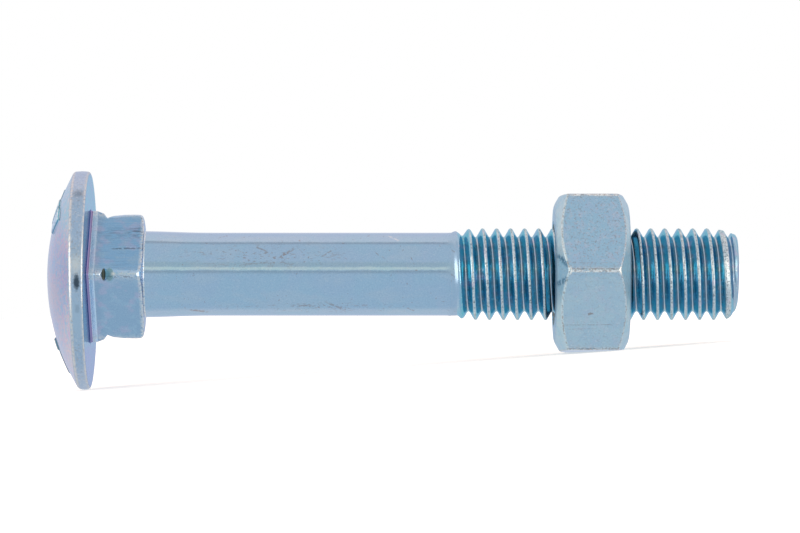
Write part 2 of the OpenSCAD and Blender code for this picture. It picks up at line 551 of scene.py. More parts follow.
def thread_tree(name, inner):
    """A helical thread as an open tube: the bolt's, or with inner the nut's."""
    tree = bpy.data.node_groups.new(name, "GeometryNodeTree")
    for text in THREAD_INPUTS + (() if inner else BOLT_INPUTS):
        tree.interface.new_socket(text, in_out="INPUT", socket_type="NodeSocketFloat")
    tree.interface.new_socket("Rows", in_out="INPUT", socket_type="NodeSocketInt")
    tree.interface.new_socket("Finish", in_out="INPUT", socket_type="NodeSocketMaterial")
    tree.interface.new_socket("Mesh", in_out="OUTPUT", socket_type="NodeSocketGeometry")
    given = {socket.name: Number(tree, socket) for socket in tree.nodes.new("NodeGroupInput").outputs}

    def remaining(distance, run):
        """1 at the start of a run and 0 from its end on."""
        return 1.0 - (distance / run).do("MINIMUM", 1.0)

    grid = tree.nodes.new("GeometryNodeMeshGrid")
    for text, value in (("Size X", 1.0), ("Size Y", 1.0), ("Vertices X", given["Rows"] + 1.0),
                        ("Vertices Y", COLUMNS + 1)):
        give(tree, value, grid.inputs[text])
    place = parts_of(tree, tree.nodes.new("GeometryNodeInputPosition").outputs[0])
    along, around = (share + 0.5 for share in place[:2])

    # Turns counted from a crest, with more rows at the crests and in the roots
    turn = along * given["Rows"] / float(ROWS_PER_PITCH) + around
    wave = (turn * (4 * math.pi)).do("SINE")
    turn = turn - wave * (ROW_CROWDING / (4 * math.pi))
    x = given["Crest X"] + turn * given["Pitch"]
    x = x.do("MAXIMUM", given["Start X"]).do("MINIMUM", given["End X"])
    angle = given["First Angle"] + around * (2 * math.pi)

    # Distance along X from the nearest crest, and the flank's radius there
    phase = (x - given["Crest X"]) / given["Pitch"] - around
    off_crest = abs(phase - phase.do("ROUND")) * given["Pitch"]
    fall = off_crest - given["Crest Width"] * 0.5
    flank = given["Crest Radius"] - fall * math.sqrt(3)
    form = flank.do("SMOOTH_MIN", given["Crest Radius"], given["Crest Round"])
    form = form.do("SMOOTH_MAX", given["Root Radius"], given["Root Round"])

    # Uneven crests, as rolling leaves them
    depth = given["Crest Radius"] - given["Root Radius"]

    def height_of(radius):
        return (radius - given["Root Radius"]) / depth

    def at_radius(radius):
        return vector_of(tree, x, angle.do("COSINE") * radius, angle.do("SINE") * radius)

    in_mm = vector_calc(tree, "MULTIPLY", at_radius(form), TO_MM)
    rough = texture_noise(tree, in_mm, THREAD_WAVE_SCALE, detail=3.0)
    rough = (rough - 0.5) * given["Wave"]
    form = form + rough * height_of(form)
    if inner:
        # A countersink at both ends
        from_end = (x - given["Start X"]).do("MINIMUM", given["End X"] - x)
        mouth = given["End Radius"] - from_end / given["End Run"]
        radius = form.do("MAXIMUM", mouth)
    else:
        # The thread grows out of the shank: the ridge first, the groove later
        left = remaining(x - given["Start X"], given["Ridge Run"])
        rise = 1.0 - left ** RIDGE_BOW
        sinking = ((x - given["Groove X"]) / given["Groove Run"]).fade(0.0, 1.0)
        proud = form - given["Start Radius"]
        proud = proud.do("MAXIMUM", 0.0) * rise + proud.do("MINIMUM", 0.0) * sinking
        radius = given["Start Radius"] + proud
        # The end is cut down in a full curve that leans, and then broken
        from_tip = given["End X"] - x
        lean = angle.do("SINE")
        run = given["End Run"] * (1.0 + lean * TIP_RUN_LEAN)
        end_r = given["End Radius"] + lean * given["End Lean"]
        bulge = TIP_BULGE + lean * TIP_BULGE_LEAN
        cut = (given["Crest Radius"] - end_r) * remaining(from_tip, run) ** bulge
        edge = remaining(from_tip, given["End Edge"]) ** 2.0
        limit = given["Crest Radius"] - cut - edge * given["End Edge"]
        radius = radius.do("MINIMUM", limit)

    def step(kind, mesh, **values):
        """Adds a node that works on the mesh, and gives its result."""
        node = tree.nodes.new(kind)
        give(tree, mesh, node.inputs[0])
        for text, value in values.items():
            give(tree, value, node.inputs[text])
        return node.outputs[0]

    mesh = grid.outputs["Mesh"]
    mesh = step("GeometryNodeStoreNamedAttribute", mesh, Name="height", Value=height_of(radius))
    mesh = step("GeometryNodeSetPosition", mesh, Position=at_radius(radius))
    mesh = step("GeometryNodeMergeByDistance", mesh, Distance=WELD)
    mesh = step("GeometryNodeRealizeInstances", mesh)
    mesh = step("GeometryNodeSetMaterial", mesh, Material=given["Finish"])
    give(tree, mesh, tree.nodes.new("NodeGroupOutput").inputs[0])
    return tree


def grown_thread(tree, sizes, rows, material):
    """Runs a thread tree with its sizes, and gives a part in millimetres as Skin does."""
    holder = bpy.data.objects.new(tree.name, bpy.data.meshes.new(tree.name))
    bpy.context.scene.collection.objects.link(holder)
    modifier = holder.modifiers.new("thread", "NODES")
    modifier.node_group = tree
    values = dict(sizes, Rows=rows, Finish=material)
    for item in tree.interface.items_tree:
        if item.in_out == "INPUT":
            modifier[item.identifier] = values[item.name]
    bpy.context.view_layer.update()
    evaluated = holder.evaluated_get(bpy.context.evaluated_depsgraph_get())
    mesh = bpy.data.meshes.new_from_object(evaluated)
    holder.modifiers.remove(modifier)
    bpy.data.objects.remove(holder)
    points = np.zeros(len(mesh.vertices) * 3)
    mesh.vertices.foreach_get("co", points)
    faces = [tuple(face.vertices) for face in mesh.polygons]
    height = np.zeros(len(mesh.vertices))
    mesh.attributes["height"].data.foreach_get("value", height)
    bpy.data.meshes.remove(mesh)
    points = points.reshape(-1, 3) / MM
    on_ridge = points[:, 0] < RIDGE_END
    finishes = ["shank" if on_ridge[list(face)].all() else "thread" for face in faces]
    return points, faces, finishes, {"height": height}


def crest_start(first, start_x):
    """X of a crest at the first angle, at least a turn before start_x."""
    here = CREST_X + PITCH * (first - CREST_ANGLE) / (2 * math.pi)
    return here - PITCH * math.ceil((here - start_x) / PITCH + 1)


def thread_part(name, inner, first, ends, lengths, numbers, material):
    """A thread between two places along X, from lengths in millimetres and plain numbers."""
    start = crest_start(first, ends[0])
    lengths = {"Pitch": PITCH, "Crest X": start, "Start X": ends[0], "End X": ends[1], **lengths}
    sizes = {text: length * MM for text, length in lengths.items()}
    rows = ROWS_PER_PITCH * math.ceil((ends[1] - start) / PITCH)
    return grown_thread(thread_tree(name, inner), {"First Angle": first, **sizes, **numbers}, rows, material)


def bolt_thread(first, material):
    """The rolled thread, from the ridge on the shank to the tip."""
    lengths = {
        "Crest Radius": CREST_R, "Root Radius": ROOT_R, "Crest Width": CREST_W,
        "Crest Round": CREST_ROUND, "Root Round": ROOT_ROUND, "Wave": THREAD_WAVE,
        "Start Radius": shank_r(RIDGE_X), "Ridge Run": RIDGE_RUN,
        "Groove X": GROOVE_X, "Groove Run": GROOVE_RUN,
        "End Radius": TIP_R, "End Lean": TIP_LEAN, "End Run": TIP_RUN, "End Edge": TIP_EDGE,
    }
    return thread_part("rolled_thread", False, first, (RIDGE_X, bolt_high.x), lengths, {}, material)


def nut_thread(first, material):
    """The nut's thread, a running gap outside the bolt's. What is a crest on the bolt is a root here."""
    lengths = {
        "Crest Radius": NUT_MAJOR_R, "Root Radius": NUT_MINOR_R,
        "Crest Width": CREST_W + (2 * NUT_GAP - NUT_MAJOR_R + CREST_R) * 2 / math.sqrt(3),
        "Crest Round": ROOT_ROUND, "Root Round": ROOT_ROUND, "End Radius": NUT_MOUTH_R,
    }
    numbers = {"End Run": math.tan(NUT_SINK), "Wave": 0.0}
    return thread_part("tapped_thread", True, first, (NUT_X, NUT_X + NUT_H), lengths, numbers, material)


# Meshes

def piece(name, parts, materials, close_at=None):
    """Joins parts that share their edges into one closed mesh. close_at caps the ring at that X."""
    points, faces, finishes, marks = [], [], [], {"wear": [], "height": []}
    order = list(materials)
    for some_points, some_faces, some_finishes, some_marks in parts:
        offset = sum(map(len, points))
        points.append(some_points * MM)
        faces += [tuple(i + offset for i in face) for face in some_faces]
        finishes += [order.index(finish) for finish in some_finishes]
        for text, values in marks.items():
            values.append(some_marks.get(text, np.zeros(len(some_points))))
    mesh = bpy.data.meshes.new(name)
    mesh.from_pydata(np.concatenate(points), [], faces)
    mesh.polygons.foreach_set("material_index", finishes)
    for text, values in marks.items():
        attribute = mesh.attributes.new(text, "FLOAT", "POINT")
        attribute.data.foreach_set("value", np.concatenate(values).astype(float))
    bm = bmesh.new()
    bm.from_mesh(mesh)
    bmesh.ops.remove_doubles(bm, verts=bm.verts, dist=WELD)
    if close_at is not None:
        cap_end(bm, close_at * MM)
    bmesh.ops.recalc_face_normals(bm, faces=bm.faces)
    bm.to_mesh(mesh)
    bm.free()
    mesh.shade_smooth()
    for material in materials.values():
        mesh.materials.append(material)
    obj = bpy.data.objects.new(name, mesh)
    bpy.context.scene.collection.objects.link(obj)
    return obj


def cap_end(bm, x):
    """Closes the ring at x with rings that step in to the middle."""
    rim = [e for e in bm.edges if e.is_boundary and all(abs(v.co.x - x) < 1e-6 for v in e.verts)]
    for shrink in CAP_STEPS:
        made = bmesh.ops.extrude_edge_only(bm, edges=rim)["geom"]
        for vert in (g for g in made if isinstance(g, bmesh.types.BMVert)):
            vert.co.y *= shrink
            vert.co.z *= shrink
        rim = [g for g in made if isinstance(g, bmesh.types.BMEdge) and g.is_boundary]
    bmesh.ops.pointmerge(bm, verts=list({v for e in rim for v in e.verts}), merge_co=(x, 0, 0))


def nut_skin(first):
    """The nut's outside, from the mouth of its bore at one face to the other."""
    skin = Skin()
    section = polygon_section(6, NUT_HALF, NUT_CORNER, first)
    size = np.linalg.norm(section, axis=1)
    out = section / size[:, None]
    even = ring_directions(first)

    def at(x, radius):
        return ring(NUT_X + np.asarray(x), out * np.broadcast_to(radius, COLUMNS)[:, None], -NUT_RISE)

    def chamfer_end(face_r):
        return (size - face_r) * math.tan(NUT_CHAMFER)

    corner = np.clip((size - NUT_HALF) / (NUT_HALF * HEXAGON_REACH), 0, 1) ** NUT_CORNER_POWER
    front, back = chamfer_end(NUT_FACE_R), NUT_H - chamfer_end(NUT_BACK_R)
    stops = [
        ring(NUT_X, even * NUT_MOUTH_R),
        at(0, NUT_FACE_R),
        at(front, size),
        at(back, size),
        at(NUT_H, NUT_BACK_R),
        ring(NUT_X + NUT_H, even * NUT_MOUTH_R),
    ]
    softness = (0, NUT_FACE_SOFT, NUT_SOFT, NUT_SOFT, NUT_FACE_SOFT, 0)
    skin.add([stops[0]], "ends")
    for i, steps in enumerate(NUT_ROWS):
        finish = "nut" if i == 2 else "ends"
        start = towards(stops[i], stops[i + 1], softness[i])
        end = towards(stops[i + 1], stops[i], softness[i + 1])
        skin.add(between(start, end, steps, 0.7), finish, wear=0.7 * corner if i == 2 else 0.0)
        if i < 4:
            beyond = towards(stops[i + 1], stops[i + 2], softness[i + 1])
            wears = FLAT_EDGE_WEAR if i in (1, 2) else END_EDGE_WEAR
            skin.add_edge(bend(end, stops[i + 1], beyond, 4), finish, wears)
    return skin


# Finishes, with colours as a screen shows them, from 0 to 255

STEEL_BLUE = (140, 171, 199)
SOFT_BLUE = (146, 174, 198)
GREEN_BLUE = (137, 173, 199)
NECK_BLUE = (127, 161, 191)
NECK_UPPER = (121, 168, 206)
NECK_SHADE = (119, 149, 181)
COLLAR_PALE = (168, 198, 226)
NUT_LOWER = (152, 182, 201)
NUT_UPPER = (138, 175, 200)
END_PALE = (170, 198, 212)
LILAC = (156, 170, 200)
BLUE = (154, 180, 211)
PINK = (188, 168, 200)
SALMON = (200, 184, 192)
DOME_LILAC = (170, 177, 205)
CYAN = (128, 184, 209)
SATIN = (141, 168, 195)
SATIN_LILAC = (148, 172, 199)
UNDER_PURPLE_SHADE = (118, 106, 158)
UNDER_TEAL = (58, 110, 138)
TEAL = (94, 166, 190)
ROOT_GREY = (162, 170, 184)
WORN_AND_HIGHLIGHT = (196, 206, 212)
RAISED = (205, 229, 237)
PAD_EDGE = (110, 165, 188)
UNDER_BLUE = (178, 218, 236)
UNDER_LILAC = (196, 190, 232)
CREST_GREY = (172, 188, 199)
WARM_WORN = (200, 203, 202)
BROWN = (122, 114, 112)
DARK = (52, 68, 84)
GLINT = (246, 246, 240)
NOTCH_SHADE = (66, 72, 62)
NOTCH_TEAL = (118, 156, 168)
MOUTH_BROWN = (92, 84, 78)
# Places along X of the painted highlights at the bright ends of the corner that faces the camera
NUT_GLINTS = (51.0, 56.4)
# Where along X the tip begins to be worn all over, and where it is pale
TIP_WORN_X = (66.8, 67.4)
TIP_PALE_X = (67.6, 68.4)
# Smudges, and first on the rim a dark painted reflection of the camera: their centre, their size, and how
# dark they are
RIM_SMUDGES_AND_REFLECTION = (
    ((-0.65, -11.6, -0.85), (0.55, 2.0, 1.5), 0.95),
    ((-0.75, -7.8, 8.6), (1.2, 2.5, 0.8), 0.4),
    ((-0.6, -11.2, -3.6), (0.5, 2.0, 0.8), 0.2),
)
NECK_SMUDGES = (
    ((2.6, -4.0, 4.5), (2.6, 4.0, 1.2), 0.5),
    ((5.1, -3.6, 4.6), (1.9, 4.0, 1.1), 0.9),
)
# Scratches: both ends by X and Z, width, and how dark they are
SHANK_SCRATCHES = (
    ((19.9, 1.5), (22.1, 2.8), 0.12, 0.6), ((20.5, 2.0), (22.0, 2.9), 0.07, 0.5),
    ((24.7, 1.8), (26.0, 2.6), 0.12, 0.5), ((30.4, 2.5), (30.9, 1.9), 0.1, 0.55),
    ((34.3, 1.9), (34.7, 1.0), 0.08, 0.6), ((17.7, 3.0), (19.3, 2.3), 0.13, 0.5),
    ((13.7, 3.85), (14.9, 4.15), 0.09, 0.5), ((10.6, -3.8), (12.9, -4.0), 0.16, 0.65),
    ((25.0, -2.8), (27.2, -3.8), 0.2, 0.5), ((22.1, -3.4), (23.9, -3.3), 0.16, 0.5),
    ((16.2, 1.0), (19.4, 1.3), 0.14, 0.4), ((11.0, 2.4), (13.4, 2.2), 0.1, 0.3),
    ((31.2, 2.0), (31.9, 1.3), 0.1, 0.35), ((33.8, -3.6), (34.8, -3.9), 0.1, 0.5),
)
NUT_LINES = (
    ((49.9, -5.35), (56.6, -5.3), 0.07, 0.4), ((50.5, -5.8), (54.0, -5.75), 0.06, 0.35),
    ((52.9, -4.25), (53.6, -4.05), 0.2, 0.7), ((51.0, 1.2), (56.0, 1.25), 0.06, 0.25),
)
# Dark lines of painted reflection that meet at the corner on the nut's end
NUT_END_LINES = (((49.6, 2.1), (51.1, 0.75)), ((51.1, -0.3), (49.6, -1.1)))
# Tint of the reflections at a grazing angle
GRAZING = (0.75, 0.8, 0.95, 1)
THREAD_GRAZING = (0.55, 0.78, 0.92, 1)
DOME_GRAZING = (0.95, 0.92, 0.97, 1)
UNDER_GRAZING = (0.4, 0.72, 0.82, 1)


def linear(colour):
    """A screen colour as the shaders take it."""
    shares = (value / 255 for value in colour)
    return (*(((share + 0.055) / 1.055) ** 2.4 for share in shares), 1)


def mixed(tree, share, a, b):
    """Colour a, and colour b where share is 1."""
    node = tree.nodes.new("ShaderNodeMix")
    node.data_type = "RGBA"
    give(tree, share, node.inputs["Factor"])
    give(tree, a, node.inputs[6])
    give(tree, b, node.inputs[7])
    return node.outputs[2]


class Finish:
    """A plated metal surface, built up in layers of colour and roughness."""

    def __init__(self, name, colour, roughness, grazing=GRAZING):
        self.material = bpy.data.materials.new(name)
        self.material.use_nodes = True
        self.tree = self.material.node_tree
        self.shader = self.tree.nodes["Principled BSDF"]
        self.shader.inputs["Metallic"].default_value = 1.0
        self.grazing = grazing
        coordinates = self.tree.nodes.new("ShaderNodeTexCoord").outputs["Object"]
        self.place = vector_calc(self.tree, "MULTIPLY", coordinates, TO_MM)
        self.x, self.y, self.z = parts_of(self.tree, self.place)
        self.colour = linear(colour)
        self.roughness = roughness
        self.bumps = []

    def noise(self, scale, detail=2.0, distortion=0.0, stretch=(1, 1, 1)):
        place = vector_calc(self.tree, "MULTIPLY", self.place, stretch)
        return texture_noise(self.tree, place, scale, detail, distortion)

    def mark(self, text):
        node = self.tree.nodes.new("ShaderNodeAttribute")
        node.attribute_name = text
        return Number(self.tree, node.outputs["Fac"])

    def near(self, centre, size):
        """1 at a place in millimetres, falling to 0 at a size away from it."""
        off = vector_calc(self.tree, "DIVIDE", vector_calc(self.tree, "SUBTRACT", self.place, centre), size)
        return vector_calc(self.tree, "LENGTH", off).fade(1.0, 0.0)

    def broken_line(self, start, end, width, wobble=0.25):
        """1 along a broken line between two places, given by X and Z in millimetres."""
        (x0, z0), (x1, z1) = start, end
        half = math.hypot(x1 - x0, z1 - z0) / 2
        along = ((x1 - x0) / half / 2, 0, (z1 - z0) / half / 2)
        across = (-along[2], 0, along[0])
        off = vector_calc(self.tree, "SUBTRACT", self.place, ((x0 + x1) / 2, 0, (z0 + z1) / 2))
        t = abs(vector_calc(self.tree, "DOT_PRODUCT", off, along))
        s = vector_calc(self.tree, "DOT_PRODUCT", off, across)
        bent = (self.noise(1.6, 3.0) - 0.5) * wobble
        s = abs(s + bent)
        line = s.fade(width, width * 0.2) * t.fade(half, half * 0.6)
        return line * self.noise(3.5, 3.0).fade(0.38, 0.52)

    def over(self, share, colour, strength=1.0):
        """Lays a colour over the surface where share is 1."""
        share = share * strength
        self.colour = mixed(self.tree, share, self.colour, linear(colour))

    def cloud(self, colour, strength, spread, *form):
        """Lays a colour over where a noise passes through a spread, from none to all of it."""
        self.over(self.noise(*form).fade(*spread), colour, strength)

    def tint(self, share, colour, strength=1.0):
        """Tints the reflections at a grazing angle where share is 1."""
        share = share * strength
        self.grazing = mixed(self.tree, share, self.grazing, linear(colour))

    def rougher(self, share, amount):
        self.roughness = self.roughness + share * amount

    def bump(self, height, distance):
        """Adds relief, with its height in millimetres."""
        self.bumps.append((height, distance))

    def worn(self, strength=0.8, colour=WORN_AND_HIGHLIGHT, specks_from=0.6):
        """Pale worn edges with brown specks."""
        wear = self.mark("wear")
        patchy = self.noise(3.2, 3.0).fade(0.3, 0.52)
        share = wear * patchy
        self.over(share, colour, strength)
        specks = self.noise(5.5, 2.0).fade(specks_from, specks_from + 0.08)
        self.over(wear * specks, BROWN, 0.75)
        self.rougher(share, 0.1)

    def grain(self, amount=0.12):
        """Fine light and dark grain in the plating."""
        fine = self.noise(6.0, 3.0)
        self.over(fine.fade(0.52, 0.72), WORN_AND_HIGHLIGHT, amount)
        self.over(fine.fade(0.48, 0.28), DARK, amount * 0.6)

    def done(self):
        give(self.tree, self.colour, self.shader.inputs["Base Color"])
        give(self.tree, self.grazing, self.shader.inputs["Specular Tint"])
        give(self.tree, self.roughness, self.shader.inputs["Roughness"])
        normal = None
        for height, distance in self.bumps:
            node = self.tree.nodes.new("ShaderNodeBump")
            node.inputs["Strength"].default_value = 1.0
            node.inputs["Distance"].default_value = distance * MM
            give(self.tree, height, node.inputs["Height"])
            if normal is not None:
                self.tree.links.new(normal, node.inputs["Normal"])
            normal = node.outputs[0]
        if normal is not None:
            self.tree.links.new(normal, self.shader.inputs["Normal"])
        return self.material


def veins(finish, strength):
    """Soft streaks of the colours that a thin film shows."""
    tall = (1.6, 0.4, 0.4)
    finish.cloud(BLUE, 0.8 * strength, (0.47, 0.56), 1.1, 3.0, 1.2, tall)
    finish.cloud(PINK, 0.8 * strength, (0.5, 0.58), 1.5, 3.0, 0.8, tall)
    vein = abs(finish.noise(1.7, 3.0, 1.6, tall) - 0.5)
    finish.over(vein.fade(0.05, 0.01), SALMON, 0.8 * strength)


def patches(finish):
    """Faint differences of colour over the rolled shank."""
    finish.cloud(GREEN_BLUE, 0.6, (0.42, 0.62), 0.28, 2.0, 0.4)
    finish.cloud(SOFT_BLUE, 0.7, (0.48, 0.66), 0.33, 3.0, 0.4, (0.6, 1.5, 1.5))
    finish.cloud(SATIN_LILAC, 0.3, (0.56, 0.72), 0.9, 3.0, 0.3)


def dome_finish():
    """Lilac and cyan film, with paler pads that have a darker edge."""
    finish = Finish("dome_zinc", DOME_LILAC, 0.2, DOME_GRAZING)
    veins(finish, 1.0)
    finish.over(finish.near((-3.2, -6.0, -2.2), (2.6, 6.0, 3.4)), SALMON, 0.95)
    finish.over(finish.z.fade(3.4, 6.6), CYAN, 0.85)
    finish.cloud(SALMON, 0.6, (0.46, 0.64), 2.6, 4.0, 0.6)
    finish.cloud(CYAN, 0.5, (0.48, 0.66), 2.8, 4.0, 0.6)
    raised = finish.mark("wear")
    edge = raised.fade(0.1, 0.3) * raised.fade(0.8, 0.5)
    finish.over(edge, TEAL, 0.6)
    finish.tint(edge, PAD_EDGE, 0.8)
    top = raised.fade(0.6, 0.9) * finish.noise(2.5).fade(0.35, 0.6)
    finish.over(top, RAISED, 0.9)
    finish.bump(finish.noise(2.5, 3.0), 0.006)
    return finish.done()


def rim_finish():
    """The trimmed band: satin, speckled, with smudges and bright broken edges, and on its front a painted
    highlight and a dark painted reflection of the camera.
    """
    finish = Finish("rim_zinc", SATIN, 0.3)
    finish.over(finish.z.fade(7.5, 10.5), SATIN_LILAC, 0.9)
    finish.cloud(SATIN_LILAC, 0.3, (0.45, 0.65), 1.2, 3.0, 0.5)
    finish.cloud(WORN_AND_HIGHLIGHT, 0.3, (0.5, 0.66), 4.5, 4.0)
    finish.cloud(BROWN, 0.4, (0.54, 0.68), 4.8, 4.0, 0.3)
    finish.over(finish.near((-0.7, -11.0, -4.5), (3.0, 6.0, 4.5)), SOFT_BLUE, 0.9)
    # A painted highlight on the band's front.
    finish.over(finish.near((-0.7, -11.6, 1.0), (0.9, 2.0, 1.7)), WORN_AND_HIGHLIGHT, 0.45)
    # The first is a painted reflection of the camera, dark on the band's front; the others are smudges.
    for centre, size, strength in RIM_SMUDGES_AND_REFLECTION:
        patch = (finish.near(centre, size) + finish.noise(3.5, 4.0)).fade(0.65, 1.3)
        finish.over(patch, DARK, strength)
    finish.worn(0.8, WARM_WORN)
    finish.bump(finish.noise(7.0, 3.0), 0.012)
    return finish.done()


def underside_finish():
    """Cyan above and lilac below, with purple painted shade in the fillet round the collar."""
    finish = Finish("underside_zinc", CYAN, 0.16, UNDER_GRAZING)
    veins(finish, 0.5)
    finish.over(finish.z.fade(0.0, -4.0), LILAC, 0.5)
    streaks = finish.noise(0.6, 3.0, 1.0).fade(0.42, 0.6)
    finish.over(finish.near((0, -2.0, -9.0), (2, 7.0, 3.2)) * streaks, PINK, 0.8)
    finish.over(finish.near((0, 1.0, 8.5), (2, 6.0, 3.0)) * streaks, PINK, 0.6)
    film = finish.noise(1.3, 3.0, 0.8).fade(0.4, 0.6)
    finish.tint(film * finish.z.fade(5.5, 7.5), UNDER_BLUE)
    finish.tint(finish.noise(1.6, 3.0, 0.8).fade(0.52, 0.64), UNDER_LILAC, 0.8)
    finish.tint(finish.z.fade(-6.5, -8.5), UNDER_LILAC, 0.6)
    # Painted shade: purple in the fillet round the collar.
    finish.over(finish.mark("wear"), UNDER_PURPLE_SHADE, 0.85)
    return finish.done()


def neck_finish():
    """Pressed flats with fine lines along X, and dark smudges towards the end, with a painted reflection line
    on the upper flat, and painted shade and a painted highlight at the notch.
    """
    finish = Finish("neck_zinc", NECK_BLUE, 0.17)
    x, z = finish.x, finish.z
    upper = z.fade(-0.6, 0.4)
    finish.over(upper, NECK_UPPER)
    finish.over(x.fade(1.9, 0.9), NECK_SHADE, 0.5)
    finish.over(x.fade(COLLAR_L + 0.04, COLLAR_L - 0.04), COLLAR_PALE, 0.95)
    lines = finish.noise(1.0, 4.0, 0.0, (0.3, 5.5, 5.5))
    finish.over(lines.fade(0.5, 0.68) * upper, SOFT_BLUE, 0.3)
    finish.over(lines.fade(0.5, 0.32) * upper, DARK, 0.12)
    finish.cloud(PINK, 0.2, (0.5, 0.64), 0.7, 2.0)
    finish.cloud(GREEN_BLUE, 0.35, (0.5, 0.64), 0.9, 3.0, 0.4)
    smudge = finish.noise(1.3, 4.0, 0.5, (0.7, 3.0, 3.0)).fade(0.42, 0.6)
    for centre, size, strength in NECK_SMUDGES:
        finish.over(finish.near(centre, size) * smudge, DARK, strength)
    # A dark painted reflection line across the upper flat.
    finish.over(finish.broken_line((2.2, 2.72), (6.4, 2.78), 0.13, 0.12), DARK, 0.6)
    finish.grain(0.1)
    finish.worn(0.65)
    # The notch that faces the camera: a rough facet, and painted shade at its steep side
    steep = finish.near((1.84, -6.4, 0.0), (0.3, 1.2, 0.86))
    finish.over(steep.fade(0.0, 0.3), NOTCH_SHADE, 0.95)
    facet = finish.near((2.45, -6.5, 0.0), (0.58, 1.2, 0.95)).fade(0.0, 0.3)
    finish.over(facet, NOTCH_TEAL, 0.9)
    finish.rougher(facet.do("MAXIMUM", steep.fade(0.0, 0.3)), 0.3)
    # A painted highlight past the facet.
    finish.over(finish.near((2.85, -6.6, 0.05), (0.35, 0.9, 0.35)), WORN_AND_HIGHLIGHT, 0.9)
    corner = finish.near((3.4, -6.7, -0.25), (3.4, 0.8, 0.22))
    finish.over(corner * finish.noise(3.4, 2.0).fade(0.5, 0.56), DARK, 0.6)
    finish.bump(finish.noise(4.0, 3.0), 0.006)
    return finish.done()


def shank_finish():
    """Smooth rolled plating with faint patches and brown hair scratches."""
    finish = Finish("shank_zinc", STEEL_BLUE, 0.1)
    patches(finish)
    for start, end, width, strength in SHANK_SCRATCHES:
        finish.over(finish.broken_line(start, end, width), BROWN, strength)
    finish.over(finish.broken_line((31.8, 4.15), (33.2, 3.5), 0.14), WORN_AND_HIGHLIGHT, 0.5)
    scuffs = finish.noise(1.9, 3.0, 1.5, (0.7, 1.0, 1.7)).fade(0.57, 0.64)
    scuffed = finish.near((19.0, -4.4, 2.0), (13.0, 6.0, 2.0))
    scuffed = scuffed.do("MAXIMUM", finish.near((24.0, -4.4, -3.6), (16.0, 6.0, 0.9)))
    finish.over(scuffs * scuffed, BROWN, 0.6)
    finish.rougher(finish.x.fade(RIDGE_X - 0.5, RIDGE_X + 0.5), 0.2)
    specks = finish.noise(2.6, 2.0, 0.5).fade(0.66, 0.72) * finish.noise(0.5).fade(0.48, 0.6)
    finish.over(specks, BROWN, 0.5)
    finish.grain(0.13)
    finish.bump(finish.noise(0.9, 2.0, 0.0, (0.4, 1, 1)), 0.012)
    finish.bump(finish.noise(5.0, 2.0), 0.003)
    return finish.done()


def thread_finish(name):
    """Teal flanks, worn grey crests, and a pale line with brown edges along each root."""
    finish = Finish(name, STEEL_BLUE, 0.17, THREAD_GRAZING)
    patches(finish)
    height = finish.mark("height")
    x = finish.x
    threaded = x.fade(RIDGE_END, RIDGE_END + 0.6)
    finish.over(threaded, TEAL)
    finish.cloud(STEEL_BLUE, 0.4, (0.42, 0.62), 0.8, 2.0)
    finish.over(height.fade(0.78, 0.95) * threaded, STEEL_BLUE, 0.7)
    broken = finish.noise(2.4, 2.0).fade(0.36, 0.56)
    finish.over(height.fade(0.2, 0.09) * broken, BROWN, 0.6)
    finish.over(height.fade(0.08, 0.04), ROOT_GREY, 0.9)
    crest = height.fade(0.89, 0.965) * x.fade(GROOVE_X, GROOVE_X + 1.5)
    at_tip = x.fade(*TIP_WORN_X)
    finish.over(x.fade(*TIP_PALE_X), SOFT_BLUE, 0.7)
    crest = crest.do("MAXIMUM", at_tip * height.fade(0.45, 0.75))
    finish.over(crest, CREST_GREY, 0.9)
    finish.over(crest * finish.noise(4.5, 2.0).fade(0.52, 0.6), WORN_AND_HIGHLIGHT, 0.9)
    finish.over(crest * finish.noise(5.5, 2.0, 0.2).fade(0.55, 0.6), DARK, 0.65)
    finish.cloud(PINK, 0.3, (0.58, 0.7), 0.7, 2.0, 0.5)
    finish.cloud(WORN_AND_HIGHLIGHT, 0.9, (0.7, 0.74), 4.5, 1.0)
    finish.over(height.fade(1.03, 1.12), MOUTH_BROWN, 0.95)
    finish.rougher(crest, 0.2)
    finish.bump(finish.noise(6.0, 2.0), 0.01)
    return finish.done()


def from_corner(finish):
    """Distance round the nut from its nearest corner, in millimetres and with a sign."""
    angle = (finish.z - NUT_RISE).do("ARCTAN2", finish.y)
    sides = (angle + NUT_TURN) / (math.pi / 3)
    off = sides - sides.do("ROUND")
    return off * (math.pi / 3 * NUT_HALF / math.cos(math.pi / 6))


